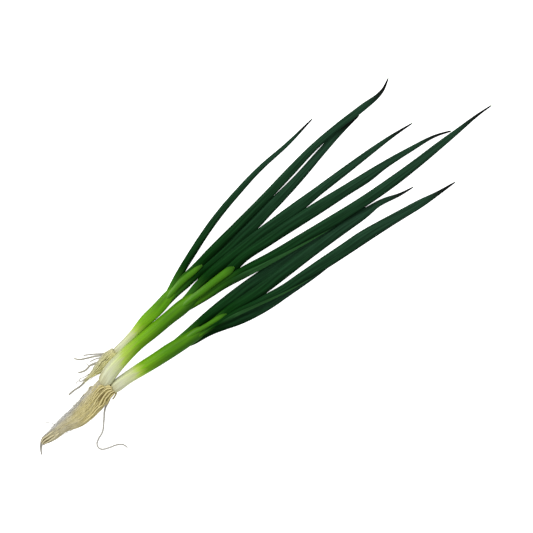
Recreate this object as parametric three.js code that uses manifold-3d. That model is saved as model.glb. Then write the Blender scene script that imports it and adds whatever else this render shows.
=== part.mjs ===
import * as THREE from 'three';
import { mergeVertices } from 'three/addons/utils/BufferGeometryUtils.js';
import Module from 'manifold-3d';

const wasm = await Module();
wasm.setup();

// A bunch of three spring onions lying flat. Millimetres, +X from the roots to the leaf
// tips, +Y to the left of that, +Z up, the surface it lies on at z = 0.

const gap = 0.3; // clear space kept between neighbouring pieces
const leafSides = 10; // corners round a leaf
const shankSides = 12; // corners round a white shank
const stepsPerSpan = 2; // rings between two control points
const strandSides = 4; // corners round a root
const restDepth = 0.25; // how far the shanks settle into their flat spots
const middle = [0, 0.3]; // middle of the finished bunch along X and Y

// Each course is a list of stations: x, y, height of the centre, width, thickness.
const shankStations = {
  left: [
    [-115.5, 7.2, 3.2, 6, 6],
    [-112, 7.5, 3.2, 6.4, 6.4],
    [-105, 8.5, 3, 5.9, 6.2],
    [-95, 10, 3.2, 6.5, 6.7],
    [-84, 11.7, 3.6, 7.3, 7.4],
    [-72, 13.7, 3.7, 7.8, 7.8],
    [-60, 15.3, 3.9, 7.9, 7.8],
    [-51, 16.6, 3.9, 6.2, 6],
  ],
  middle: [
    [-134.6, -4.4, 5.6, 9.2, 8.4],
    [-128, -2, 5.9, 10.6, 10],
    [-120, 0, 6, 10.8, 10.4],
    [-110, 1.4, 5.6, 9.8, 9.6],
    [-97, 2.6, 5, 9.1, 9.1],
    [-84, 3.4, 4.4, 9, 9],
    [-70, 3.9, 4.15, 8.8, 8.8],
    [-58, 4.3, 4.2, 9.3, 8.9],
    [-46, 4, 4.2, 8, 7.4],
  ],
  right: [
    [-132, -11.6, 4.2, 7, 7],
    [-127, -11.6, 4.2, 8.9, 8.7],
    [-119, -11.8, 4.1, 8.7, 8.7],
    [-107, -12.4, 4.1, 8.8, 8.8],
    [-95, -13.8, 4.2, 9, 9],
    [-83, -15.1, 4.3, 9.4, 9.2],
    [-71, -16.2, 4.4, 10, 9.4],
    [-58, -17.5, 4.4, 8.6, 7.6],
  ],
};

// The paler sheath of the inner leaves, rising out of the mouth of each shank.
const sheathStations = {
  left: [
    [-66, 13.9, 5.6, 3, 3],
    [-57, 16.2, 6.6, 3.6, 3.2],
    [-47, 18.4, 6.8, 3.8, 3.2],
    [-38, 18.9, 6.4, 3.8, 2.6],
    [-28.5, 18.1, 5.9, 1, 1],
  ],
  middle: [
    [-66, 3.9, 5.8, 4.2, 4],
    [-56, 4.1, 6.9, 5, 4.4],
    [-46, 4.2, 7.4, 5.2, 4.6],
    [-36, 3.2, 7.3, 5.8, 4.4],
    [-25, 3.3, 6.9, 6.3, 3.8],
    [-16, 4, 6.4, 6, 3],
    [-10, 3.7, 6, 3.4, 1.8],
  ],
  right: [
    [-80, -15, 5.8, 3, 3],
    [-68, -14.9, 7, 3.6, 3.2],
    [-56, -16, 7.2, 3.6, 3],
    [-45, -17.2, 6.7, 3.6, 2.6],
    [-36, -19, 6.2, 2, 1.4],
  ],
};

// The tubular leaves, from where they leave the shank to the tip.
const leafStations = {
  left_outer: [
    [-62, 16, 4.4, 3.4, 3],
    [-48, 21.1, 3.4, 4.9, 3.2],
    [-36, 26.2, 2.4, 5.2, 3],
    [-18, 32.7, 1.7, 5, 2.8],
    [0, 38.4, 1.5, 4.8, 2.6],
    [22, 43.1, 1.4, 4.3, 2.4],
    [45, 46.6, 1.2, 3.2, 2],
    [70, 48.8, 0.9, 2.1, 1.5],
    [95.5, 51.7, 0.5, 0.9, 0.9],
  ],
  left_middle: [
    [-64, 14.6, 3.6, 4, 3.2],
    [-50, 18.2, 4, 5, 3.6],
    [-34, 19.8, 4.4, 5.8, 3.6],
    [-18, 21.4, 4.2, 6.4, 3.4],
    [8, 24.7, 3.4, 6.5, 3.2],
    [34, 27.6, 2.8, 6.3, 3],
    [60, 31.5, 2.9, 5.6, 2.8],
    [82, 34.7, 3.4, 5, 2.6],
    [104, 36.3, 3.6, 4.4, 2.4],
    [128, 36.5, 3, 3.3, 1.9],
    [146, 37.3, 2.2, 1.7, 1.3],
    [155, 41.4, 1.6, 0.9, 0.9],
  ],
  left_inner: [
    [-70, 11.4, 4, 3.6, 3.4],
    [-54, 13.5, 4.6, 5, 3.8],
    [-40, 15.3, 4.2, 5.8, 3.6],
    [-22, 15.9, 3, 6.4, 3.4],
    [2, 17.6, 2, 6.9, 3],
    [30, 20.8, 1.6, 6.4, 2.8],
    [60, 24.5, 1.5, 5.8, 2.6],
    [88, 30.1, 1.3, 5.1, 2.3],
    [106, 33.6, 1, 3.4, 1.8],
    [123, 35.8, 0.6, 1.2, 1],
  ],
  middle_left: [
    [-66, 5.4, 3.8, 4, 3.6],
    [-52, 7.5, 4.4, 5.4, 4],
    [-38, 10, 4.6, 5.6, 3.8],
    [-20, 10.8, 4, 5.7, 3.4],
    [4, 10.8, 2.8, 5.9, 3],
    [34, 9.7, 1.8, 6.2, 2.9],
    [64, 8, 1.5, 5.8, 2.7],
    [92, 7.9, 1.3, 4.8, 2.4],
    [114, 8.3, 1.1, 3.5, 1.9],
    [132, 7.6, 0.8, 1.9, 1.4],
    [149, 6, 0.5, 0.9, 0.9],
  ],
  middle_inner: [
    [-52, 3.4, 4, 4, 3.4],
    [-34, 3.6, 3.8, 5, 3.6],
    [-20, 3.7, 3.6, 5.8, 3.6],
    [-4, 4.6, 3.4, 6.8, 3.5],
    [18, 3.2, 2.6, 7.3, 3.4],
    [44, 1.3, 1.9, 7.3, 3.2],
    [62, -0.2, 1.7, 7.6, 3.1],
    [82, -1.9, 1.6, 6.8, 2.9],
    [101, -4.2, 1.5, 6.8, 2.7],
    [114, -5.8, 1.2, 4.4, 2.2],
    [138, -8, 0.9, 2.9, 1.6],
    [156, -10.8, 0.7, 1.6, 1.2],
    [167, -14.4, 0.5, 0.9, 0.9],
  ],
  middle_right: [
    [-62, 1.6, 3.6, 3.6, 3],
    [-42, -0.2, 4, 4.8, 3.4],
    [-24, -0.9, 4.6, 5.8, 3.6],
    [-8, -3.2, 5.2, 6.9, 3.6],
    [14, -7.4, 5.4, 7.6, 3.5],
    [38, -11, 5.3, 7.6, 3.4],
    [62, -14.1, 5.1, 7.2, 3.3],
    [86, -16.5, 4.7, 7, 3.1],
    [112, -17.9, 4.1, 7, 2.9],
    [134, -18.4, 3.5, 6.2, 2.6],
    [152, -18.1, 2.9, 4.7, 2.2],
    [170, -17.5, 2.1, 2.9, 1.7],
    [188, -17.7, 1.2, 1.3, 1.1],
    [200.5, -18.4, 0.5, 0.9, 0.9],
  ],
  right_left: [
    [-78, -12.6, 4.2, 3.4, 3],
    [-66, -12.2, 4.2, 4.8, 3.4],
    [-50, -12.4, 3.4, 6, 3.2],
    [-34, -12.5, 2.4, 7.4, 3],
    [-14, -13.3, 1.7, 7.8, 2.8],
    [8, -14.6, 1.5, 7.4, 2.8],
    [30, -15.6, 1.4, 6.6, 2.6],
    [50, -17, 1.3, 5.4, 2.4],
    [68, -17.9, 1, 3.2, 1.8],
    [84, -18.3, 0.6, 1.2, 1],
  ],
  right_middle: [
    [-66, -18.2, 4.4, 4, 3.2],
    [-48, -19.4, 4.6, 5.8, 3.6],
    [-32, -19.6, 4.2, 7.8, 3.6],
    [-14, -20.8, 3.4, 8.6, 3.5],
    [10, -21.2, 2.6, 9, 3.4],
    [38, -21.4, 2.2, 8.8, 3.3],
    [62, -22.1, 2, 8.5, 3.2],
    [79, -22.3, 1.8, 7.6, 2.9],
    [87, -22.8, 1.6, 6.2, 2.5],
    [94, -23.4, 1.4, 4.3, 2.2],
    [100, -24.7, 1.2, 3, 1.9],
    [111, -27.7, 0.9, 1.8, 1.4],
    [122, -29.8, 0.5, 0.9, 0.9],
  ],
  right_outer: [
    [-62, -19.2, 6, 3, 2.6],
    [-46, -20.6, 6.6, 3.8, 2.6],
    [-30, -23, 6.6, 4.4, 2.6],
    [-14, -26.3, 5.9, 5, 2.6],
    [4, -29.7, 4.8, 6.2, 2.8],
    [22, -32.2, 3.9, 7.4, 3.2],
    [42, -34, 3.2, 8.4, 3.3],
    [58, -34.7, 2.8, 8.3, 3.2],
    [71, -35.4, 2.4, 7.9, 3.1],
    [88, -37.8, 2, 7, 2.9],
    [104, -39.9, 1.6, 6.7, 2.6],
    [118, -41.7, 1.3, 5.2, 2.2],
    [132, -43.7, 0.9, 2.8, 1.6],
    [147.5, -45.2, 0.5, 0.9, 0.9],
  ],
  right_under: [
    [-76, -16.8, 3.4, 3.4, 3],
    [-62, -19.8, 2.9, 5.6, 3.2],
    [-46, -22.9, 2.2, 6.4, 3],
    [-30, -27.4, 1.7, 7, 2.8],
    [-12, -31.9, 1.4, 6, 2.6],
    [8, -34.7, 1.1, 4.2, 2.2],
    [28, -36.8, 0.9, 2.8, 1.6],
    [47, -38.6, 0.5, 1, 1],
  ],
};

// The core of each tuft of roots, which the single roots stand out of.
const rootCoreStations = {
  left: [
    [-115.5, 7.4, 3.2, 5, 4.6],
    [-118.5, 7.4, 3.1, 6.2, 4.8],
    [-122.5, 7.2, 2.7, 6.8, 4.2],
    [-127, 6.4, 2.3, 6, 3.6],
    [-132, 5.7, 1.9, 4.6, 2.8],
    [-136.5, 5.2, 1.5, 2.8, 2],
    [-142, 4.9, 1.2, 1.6, 1.5],
    [-148, 4.2, 1, 1.2, 1.2],
  ],
  right: [
    [-130, -8.4, 4.4, 13.6, 7.6],
    [-137, -9, 4.2, 14.2, 7.6],
    [-146, -9.9, 3.8, 15.2, 7],
    [-154, -11.1, 3.5, 14.8, 6.4],
    [-162, -11.9, 3.1, 13.8, 5.8],
    [-169, -11.4, 2.8, 12, 5],
    [-174.5, -10.5, 2.4, 9, 4.2],
    [-180, -10.9, 2.1, 7.4, 3.6],
    [-186, -11, 1.8, 6.8, 3.2],
    [-191, -10.6, 1.5, 5.2, 2.6],
    [-194.5, -11.3, 1.2, 3.4, 2],
  ],
};

// The thick last root, which hooks round at the end of the tangle.
const hookStations = [
  [-188, -11, 1.6, 3.4, 2.4],
  [-193.2, -11.6, 1.3, 3.4, 2.2],
  [-197, -14.1, 1, 2.3, 1.6],
  [-199.9, -16.9, 0.7, 1, 1],
];

const strandWidth = 1; // across one root
const tangleRoots = 15; // roots drawn by rule in the long tangle
const tuftRoots = 8; // roots drawn by rule in the left tuft

// Single roots that stand clear of the tufts: x, y, height along each.
const strayRoots = {
  right_curl: [
    [-133, -11, 3.2],
    [-139, -16, 1.6],
    [-144.5, -19, 0.8],
    [-150, -25.5, 0.7],
    [-156, -31, 0.7],
    [-161.5, -33.2, 0.7],
    [-164.4, -36, 0.7],
    [-164, -39.4, 0.7],
    [-159, -42.2, 0.7],
    [-153, -44.2, 0.7],
    [-149.5, -47, 0.7],
    [-149, -51.4, 0.6],
  ],
  right_whisker: [
    [-168, -8.5, 2.4],
    [-176, -5.6, 1.2],
    [-182, -2.8, 0.7],
    [-187, 0.4, 0.6],
  ],
  left_long: [
    [-121, 9.6, 3],
    [-128, 14.4, 1.6],
    [-135, 17.6, 0.8],
    [-138, 19.4, 0.7],
    [-140.5, 22.4, 0.6],
  ],
  left_short: [
    [-117, 9.6, 3.4],
    [-121.5, 11.9, 2.4],
    [-124.5, 13.9, 1.6],
    [-128.3, 16.5, 1],
    [-133.5, 19.5, 0.7],
  ],
  left_hook: [
    [-128, 8.6, 2.2],
    [-134, 11.4, 1.2],
    [-139, 10.6, 0.8],
    [-144, 12.2, 0.6],
  ],
  left_tail: [
    [-140, 5, 1.6],
    [-148, 4.1, 1],
    [-154, 4.6, 0.7],
    [-158.6, 4.5, 0.6],
  ],
};

// A seeded draw, alike on every run.
function makeDraw(seed) {
  let state = seed;
  return () => {
    state = (state * 16807) % 2147483647;
    return state / 2147483647;
  };
}

// A closed sweep: the rings of a cylinder are laid along the course and given its sections.
function sweep(stations, sides, grow = 0, reach = 0, steps = stepsPerSpan) {
  const centres = stations.map(([x, y, z]) => new THREE.Vector3(x, y, z));
  const first = centres[0].clone().sub(centres[1]).normalize();
  const last = centres.at(-1).clone().sub(centres.at(-2)).normalize();
  centres[0].addScaledVector(first, reach);
  centres.at(-1).addScaledVector(last, reach);
  const sections = stations.map(([, , , width, thickness]) =>
    new THREE.Vector3(width + 2 * grow, thickness + 2 * grow, 0));
  const course = new THREE.CatmullRomCurve3(centres, false, 'catmullrom', 0.5);
  const section = new THREE.CatmullRomCurve3(sections, false, 'catmullrom', 0.5);
  const rings = (stations.length - 1) * steps;
  const body = new THREE.CylinderGeometry(1, 1, 1, sides, rings);
  const corner = body.attributes.position;
  const up = new THREE.Vector3(0, 0, 1);
  for (let i = 0; i < corner.count; i += 1) {
    const t = Math.min(1, Math.max(0, corner.getY(i) + 0.5));
    const centre = course.getPoint(t);
    const along = course.getTangent(t);
    const across = new THREE.Vector3().crossVectors(along, up).normalize();
    const above = new THREE.Vector3().crossVectors(across, along).normalize();
    const size = section.getPoint(t);
    centre.addScaledVector(across, corner.getX(i) * Math.max(size.x, 0.7) * 0.5);
    centre.addScaledVector(above, corner.getZ(i) * Math.max(size.y, 0.7) * 0.5);
    corner.setXYZ(i, centre.x, centre.y, centre.z);
  }
  return toSolid(body);
}

function toSolid(geometry) {
  geometry.deleteAttribute('normal');
  geometry.deleteAttribute('uv');
  const merged = mergeVertices(geometry, 1e-4);
  return new wasm.Manifold(new wasm.Mesh({
    numProp: 3,
    vertProperties: new Float32Array(merged.attributes.position.array),
    triVerts: new Uint32Array(merged.index.array),
  }));
}

function largestBody(solid) {
  const bodies = solid.decompose();
  return bodies.reduce((a, b) => (b.volume() > a.volume() ? b : a));
}

const below = new THREE.BoxGeometry(600, 300, 20);
below.translate(0, 0, -10);
const ground = toSolid(below);

const placed = [];

// Trims a solid by the surface below and by the grown forms of the pieces already placed.
function place(name, solid, grown, colour, roughness) {
  let kept = solid.subtract(ground);
  for (const other of placed) {
    kept = kept.subtract(other.grown);
  }
  placed.push({ name, solid: largestBody(kept), grown, colour, roughness });
}

function placeCourse(name, stations, sides, colour, roughness) {
  place(name, sweep(stations, sides), sweep(stations, sides, gap, gap), colour, roughness);
}

// One thin root along a list of points, tapering to its end.
function strand(points, width = strandWidth, steps = 2) {
  const stations = points.map(([x, y, z], i) => {
    const size = width * (1 - 0.3 * (i / (points.length - 1)));
    return [x, y, z, size, size];
  });
  return sweep(stations, strandSides, 0, 0, steps);
}

// Reads a station list at a given x, for the width and height of a tuft there.
function readStations(stations, x) {
  let i = 0;
  while (i < stations.length - 2 && x < stations[i + 1][0]) {
    i += 1;
  }
  const a = stations[i];
  const b = stations[i + 1];
  const t = THREE.MathUtils.clamp((x - a[0]) / (b[0] - a[0]), 0, 1);
  return a.map((value, k) => THREE.MathUtils.lerp(value, b[k], t));
}

// Roots fanned over a core: each keeps to its own side and sinks in at its start.
function fan(core, count, seed, spread, startX, endX) {
  const draw = makeDraw(seed);
  const roots = [];
  for (let i = 0; i < count; i += 1) {
    const round = (i / count) * Math.PI * 2 + draw() * 0.3;
    const reachX = THREE.MathUtils.lerp(startX, endX, 0.35 + 0.65 * draw());
    const lift = 0.46 + 0.08 * draw();
    const points = [];
    for (let k = 0; k <= 6; k += 1) {
      const x = THREE.MathUtils.lerp(startX, reachX, k / 6);
      const [, y, z, width, thickness] = readStations(core, x);
      const out = (k === 0 ? 0.3 : lift) * (1 + spread * (k / 6) * draw());
      const side = Math.cos(round + 0.25 * k * (draw() - 0.5)) * width * out;
      const rise = Math.sin(round) * thickness * out * 0.9;
      points.push([x, y + side, Math.max(z + rise, 0.55)]);
    }
    roots.push(strand(points, strandWidth, 1));
  }
  return roots;
}

for (const [side, stations] of Object.entries(sheathStations)) {
  placeCourse(`inner_sheath_${side}`, stations, leafSides, 0x6aa02c, 0.42);
}
const leafOrder = [
  'right_outer', 'middle_right', 'middle_left', 'left_middle', 'middle_inner',
  'right_middle', 'left_outer', 'left_inner', 'right_left', 'right_under',
];
for (const name of leafOrder) {
  placeCourse(`leaf_${name}`, leafStations[name], leafSides, 0x1f4a2a, 0.45);
}
for (const side of ['middle', 'right', 'left']) {
  const stations = shankStations[side].map(([x, y, z, width, thickness]) =>
    [x, y, x < -90 && side === 'middle' ? z : thickness / 2 - restDepth, width, thickness]);
  placeCourse(`shank_${side}`, stations, shankSides, 0xc9d49a, 0.4);
}
const tangle = [
  sweep(rootCoreStations.right, leafSides, 0, 0, 2),
  ...fan(rootCoreStations.right, tangleRoots, 4127, 0.12, -131, -194),
  sweep(hookStations, 6),
];
const tuft = [
  sweep(rootCoreStations.left, 8, 0, 0, 2),
  ...fan(rootCoreStations.left, tuftRoots, 977, 0.5, -116.5, -145),
];
for (const [name, points] of Object.entries(strayRoots)) {
  (name.startsWith('right') ? tangle : tuft).push(strand(points));
}
const tangleBody = tangle.reduce((a, b) => a.add(b));
place('root_tangle_middle_right', tangleBody, tangleBody, 0xbfae7c, 0.8);
const tuftBody = tuft.reduce((a, b) => a.add(b));
place('root_tuft_left', tuftBody, tuftBody, 0xc4b585, 0.8);

const bunch = new THREE.Group();
for (const { name, solid, colour, roughness } of placed) {
  const { vertProperties, triVerts } = solid.getMesh();
  const geometry = new THREE.BufferGeometry();
  geometry.setAttribute('position', new THREE.BufferAttribute(vertProperties, 3));
  geometry.setIndex(new THREE.BufferAttribute(triVerts, 1));
  geometry.translate(-middle[0], -middle[1], 0);
  geometry.computeVertexNormals();
  const material = new THREE.MeshStandardMaterial({ color: colour, roughness, metalness: 0 });
  const mesh = new THREE.Mesh(geometry, material);
  mesh.name = name;
  bunch.add(mesh);
}

export default bunch;
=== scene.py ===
import math
import random

import bmesh
import bpy
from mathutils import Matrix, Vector


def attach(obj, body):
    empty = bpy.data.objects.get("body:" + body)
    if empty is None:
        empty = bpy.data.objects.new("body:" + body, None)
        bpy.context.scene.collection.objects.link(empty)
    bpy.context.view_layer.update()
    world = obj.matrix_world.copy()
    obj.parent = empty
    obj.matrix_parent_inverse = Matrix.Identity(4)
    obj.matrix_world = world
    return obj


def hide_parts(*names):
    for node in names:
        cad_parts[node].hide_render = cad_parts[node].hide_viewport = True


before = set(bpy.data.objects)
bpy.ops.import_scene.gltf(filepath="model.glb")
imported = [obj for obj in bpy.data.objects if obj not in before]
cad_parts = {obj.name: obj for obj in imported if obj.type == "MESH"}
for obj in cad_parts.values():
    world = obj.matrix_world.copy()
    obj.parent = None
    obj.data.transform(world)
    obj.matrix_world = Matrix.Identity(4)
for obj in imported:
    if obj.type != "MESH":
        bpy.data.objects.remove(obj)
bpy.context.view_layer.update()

mm = 0.001
acrossShift = -0.3  # the solids' own shift to the middle of the bunch


def deselectAll():
    if bpy.context.mode != "OBJECT":
        bpy.ops.object.mode_set(mode="OBJECT")
    bpy.ops.object.select_all(action="DESELECT")


def makeActive(piece):
    deselectAll()
    piece.select_set(True)
    bpy.context.view_layer.objects.active = piece


def applyModifiers(piece):
    makeActive(piece)
    for modifier in list(piece.modifiers):
        bpy.ops.object.modifier_apply(modifier=modifier.name)


def blendValue(places, values, at):
    # a smooth value through the given ones, as on a Catmull-Rom line
    i = 0
    while i < len(places) - 2 and at > places[i + 1]:
        i += 1
    span = places[i + 1] - places[i]
    t = min(1.0, max(0.0, (at - places[i]) / span))
    before = values[max(i - 1, 0)]
    after = values[min(i + 2, len(values) - 1)]
    a, b = values[i], values[i + 1]
    slopeA, slopeB = (b - before) / 2, (after - a) / 2
    if i == 0:
        slopeA = b - a
    if i == len(values) - 2:
        slopeB = b - a
    return (
        (2 * t**3 - 3 * t**2 + 1) * a + (t**3 - 2 * t**2 + t) * slopeA
        + (3 * t**2 - 2 * t**3) * b + (t**3 - t**2) * slopeB
    )


def pathPoints(stations):
    return [Vector((s[0] * mm, (s[1] + acrossShift) * mm, s[2] * mm)) for s in stations]


def placesAlong(points):
    # distance of each point along the line
    places = [0.0]
    for a, b in zip(points, points[1:]):
        places.append(places[-1] + (b - a).length)
    return places


def makePath(name, points, radii=None):
    # a smooth path that a straight piece is laid on
    line = bpy.data.curves.new(name, "CURVE")
    line.dimensions = "3D"
    line.twist_mode = "Z_UP"
    line.resolution_u = 12
    line.use_stretch = True
    line.use_deform_bounds = True
    line.use_radius = radii is not None
    spline = line.splines.new("BEZIER")
    spline.bezier_points.add(len(points) - 1)
    for i, (knot, point) in enumerate(zip(spline.bezier_points, points)):
        knot.co = point
        knot.handle_left_type = knot.handle_right_type = "AUTO"
        if radii:
            knot.radius = radii[i]
    path = bpy.data.objects.new(name, line)
    bpy.context.collection.objects.link(path)
    return path


def addBend(piece, path):
    bend = piece.modifiers.new("lay", "CURVE")
    bend.object = path
    bend.deform_axis = "POS_X"


def layOnPath(piece, path):
    addBend(piece, path)
    applyModifiers(piece)
    bpy.data.objects.remove(path)


def straightTube(name, sides, rings, length):
    # a closed straight tube along X, one unit of radius, with even rings
    deselectAll()
    bpy.ops.mesh.primitive_cylinder_add(
        vertices=sides, radius=1.0, depth=length, end_fill_type="TRIFAN",
        location=(length / 2, 0, 0), rotation=(0, math.pi / 2, 0))
    tube = bpy.context.object
    tube.name = name
    bpy.ops.object.transform_apply(location=True, rotation=True, scale=True)
    bpy.ops.object.mode_set(mode="EDIT")
    bpy.ops.mesh.select_mode(type="EDGE")
    bpy.ops.mesh.select_all(action="DESELECT")
    form = bmesh.from_edit_mesh(tube.data)
    for edge in form.edges:
        a, b = edge.verts
        edge.select = abs(a.co.x - b.co.x) > length / 2
    bmesh.update_edit_mesh(tube.data)
    bpy.ops.mesh.subdivide(number_cuts=rings - 1)
    bpy.ops.mesh.select_mode(type="VERT")
    bpy.ops.object.mode_set(mode="OBJECT")
    return tube


def sizeRings(tube, length, rings, sizeAt):
    # each ring is picked and given its width and thickness
    makeActive(tube)
    bpy.ops.object.mode_set(mode="EDIT")
    for i in range(rings + 1):
        x = length * i / rings
        form = bmesh.from_edit_mesh(tube.data)
        for vert in form.verts:
            vert.select = abs(vert.co.x - x) < length / rings / 4
        form.select_flush_mode()
        bmesh.update_edit_mesh(tube.data)
        width, thickness = sizeAt(i / rings)
        bpy.ops.transform.resize(value=(1, width / 2, thickness / 2), center_override=(x, 0, 0))
    bpy.ops.object.mode_set(mode="OBJECT")


def setValues(piece, name, values):
    # one number for each point, which the shaders read
    store = piece.data.attributes.new(name, "FLOAT", "POINT")
    store.data.foreach_set("value", values)


def pressGroove(tube, length, groove):
    # a crease pressed into the upper side along part of a straight leaf
    start, end, flank, depth = groove
    slack = 0.01
    makeActive(tube)
    bpy.ops.object.mode_set(mode="EDIT")
    bpy.ops.mesh.select_all(action="DESELECT")
    form = bmesh.from_edit_mesh(tube.data)
    store = form.verts.layers.float["flank"]
    nearest = min(abs(vert[store] - flank) for vert in form.verts if vert.co.z > 0)
    for vert in form.verts:
        vert.select = (vert.co.z > 0 and abs(vert[store] - flank) < nearest + slack
                       and start * length < vert.co.x < end * length)
    form.select_flush_mode()
    bmesh.update_edit_mesh(tube.data)
    bpy.ops.transform.translate(value=(0, 0, -depth * mm))
    bpy.ops.object.mode_set(mode="OBJECT")


def finishPiece(piece, material, nodes, level=1):
    if level:
        smooth = piece.modifiers.new("smooth", "SUBSURF")
        smooth.levels = smooth.render_levels = level
        applyModifiers(piece)
    makeActive(piece)
    bpy.ops.object.shade_smooth()
    piece.data.materials.clear()
    piece.data.materials.append(material)
    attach(piece, "root")
    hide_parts(*nodes)


def keepAbove(piece, lowest=0.05):
    # nothing sinks into the surface the bunch lies on
    for vert in piece.data.vertices:
        vert.co.z = max(vert.co.z, lowest * mm)


def newGroup(name, inputs, outputs):
    group = bpy.data.node_groups.new(name, "ShaderNodeTree")
    for label, kind, value in inputs:
        socket = group.interface.new_socket(label, in_out="INPUT", socket_type=kind)
        socket.default_value = value
    for label, kind in outputs:
        group.interface.new_socket(label, in_out="OUTPUT", socket_type=kind)
    start = group.nodes.new("NodeGroupInput")
    end = group.nodes.new("NodeGroupOutput")
    return group, start, end


def mathNode(tree, operation, a, b=None):
    node = tree.nodes.new("ShaderNodeMath")
    node.operation = operation
    for socket, value in zip(node.inputs, (a, b)):
        if value is None:
            continue
        if isinstance(value, (int, float)):
            socket.default_value = value
        else:
            tree.links.new(value, socket)
    return node.outputs[0]


def noiseNode(tree, vector, scale, detail=2.0, roughness=0.5):
    node = tree.nodes.new("ShaderNodeTexNoise")
    node.inputs["Scale"].default_value = scale
    node.inputs["Detail"].default_value = detail
    node.inputs["Roughness"].default_value = roughness
    tree.links.new(vector, node.inputs["Vector"])
    return node.outputs[0]


def mixColour(tree, kind, factor, a, b):
    node = tree.nodes.new("ShaderNodeMix")
    node.data_type = "RGBA"
    node.blend_type = kind
    for socket, value in ((node.inputs[0], factor), (node.inputs[6], a), (node.inputs[7], b)):
        if isinstance(value, (int, float, tuple)):
            socket.default_value = value
        else:
            tree.links.new(value, socket)
    return node.outputs[2]


def rampNode(tree, factor, stops):
    node = tree.nodes.new("ShaderNodeValToRGB")
    ramp = node.color_ramp
    while len(ramp.elements) < len(stops):
        ramp.elements.new(0.5)
    for element, (place, colour) in zip(ramp.elements, stops):
        element.position = place
        element.color = (*colour, 1)
    tree.links.new(factor, node.inputs[0])
    return node.outputs[0]


fibreForm = {
    "broadAround": 24.0,
    "patchesAround": 0.8,
    "fineRoughness": 0.6,
}
noiseSpan = (0.3, 0.7)  # nearly all of a noise lies between these
broadSpan = (0.34, 0.66)


def makeFibreGroup():
    # fine lines that run along a piece, read from its own UV map
    group, start, end = newGroup(
        "lengthwise fibres",
        [("Lines Around", "NodeSocketFloat", 90.0), ("Breaks Along", "NodeSocketFloat", 5.0),
         ("Patches", "NodeSocketFloat", 6.0)],
        [("Lines", "NodeSocketFloat"), ("Broad Lines", "NodeSocketFloat"),
         ("Patches", "NodeSocketFloat"), ("Along", "NodeSocketFloat")])
    uv = group.nodes.new("ShaderNodeUVMap")
    uv.uv_map = "UVMap"
    parts = group.nodes.new("ShaderNodeSeparateXYZ")
    group.links.new(uv.outputs[0], parts.inputs[0])
    along = mathNode(group, "MULTIPLY_ADD", parts.outputs[1], 2.0)
    along.node.inputs[2].default_value = -1.0
    around = mathNode(group, "MULTIPLY", parts.outputs[0], math.tau)
    ringX = mathNode(group, "COSINE", around)
    ringY = mathNode(group, "SINE", around)

    def stretched(aroundScale, alongScale):
        node = group.nodes.new("ShaderNodeCombineXYZ")
        group.links.new(mathNode(group, "MULTIPLY", ringX, aroundScale), node.inputs[0])
        group.links.new(mathNode(group, "MULTIPLY", ringY, aroundScale), node.inputs[1])
        group.links.new(mathNode(group, "MULTIPLY", along, alongScale), node.inputs[2])
        return node.outputs[0]

    fine = mathNode(group, "DIVIDE", start.outputs[0], math.tau)
    broad = mathNode(group, "DIVIDE", start.outputs[0], fibreForm["broadAround"])
    lines = noiseNode(group, stretched(fine, start.outputs[1]), 1.0,
                      roughness=fibreForm["fineRoughness"])
    broadLines = noiseNode(group, stretched(broad, start.outputs[1]), 1.0, 1.0)
    patches = noiseNode(group, stretched(fibreForm["patchesAround"], start.outputs[2]), 1.0, 3.0)
    for value, socket in zip((lines, broadLines, patches, along), end.inputs):
        group.links.new(value, socket)
    return group


fibreGroup = makeFibreGroup()


def newMaterial(name):
    material = bpy.data.materials.new(name)
    material.use_nodes = True
    tree = material.node_tree
    shader = tree.nodes["Principled BSDF"]
    return material, tree, shader


def placeFibres(tree, look):
    # the look's three numbers are the lines around, their breaks along and the patches
    node = tree.nodes.new("ShaderNodeGroup")
    node.node_tree = fibreGroup
    for socket, value in zip(node.inputs, look["fibres"]):
        socket.default_value = value
    return node.outputs


def rangeNode(tree, value, low, high, fromLow=0.0, fromHigh=1.0):
    node = tree.nodes.new("ShaderNodeMapRange")
    node.inputs[1].default_value = fromLow
    node.inputs[2].default_value = fromHigh
    node.inputs[3].default_value = low
    node.inputs[4].default_value = high
    tree.links.new(value, node.inputs[0])
    return node.outputs[0]


def readValue(tree, name):
    node = tree.nodes.new("ShaderNodeAttribute")
    node.attribute_name = name
    return node.outputs["Fac"]


def shaded(tree, colour, shade):
    return mixColour(tree, "MULTIPLY", 1.0, colour, shade)


def fibreHeight(tree, look, lines, broadLines):
    return mathNode(tree, "ADD", lines, mathNode(tree, "MULTIPLY", broadLines, look["broadHeight"]))


def finishSkin(tree, shader, look, colour, mottle, height):
    # colour, roughness and gloss, and a bump with its strength and its depth in millimetres
    tree.links.new(colour, shader.inputs["Base Color"])
    tree.links.new(rangeNode(tree, mottle, *look["roughness"], *noiseSpan),
                   shader.inputs["Roughness"])
    shader.inputs["Specular IOR Level"].default_value = look["gloss"]
    bump = tree.nodes.new("ShaderNodeBump")
    strength, depth = look["bump"]
    bump.inputs["Strength"].default_value = strength
    bump.inputs["Distance"].default_value = depth * mm
    tree.links.new(height, bump.inputs["Height"])
    tree.links.new(bump.outputs[0], shader.inputs["Normal"])


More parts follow.
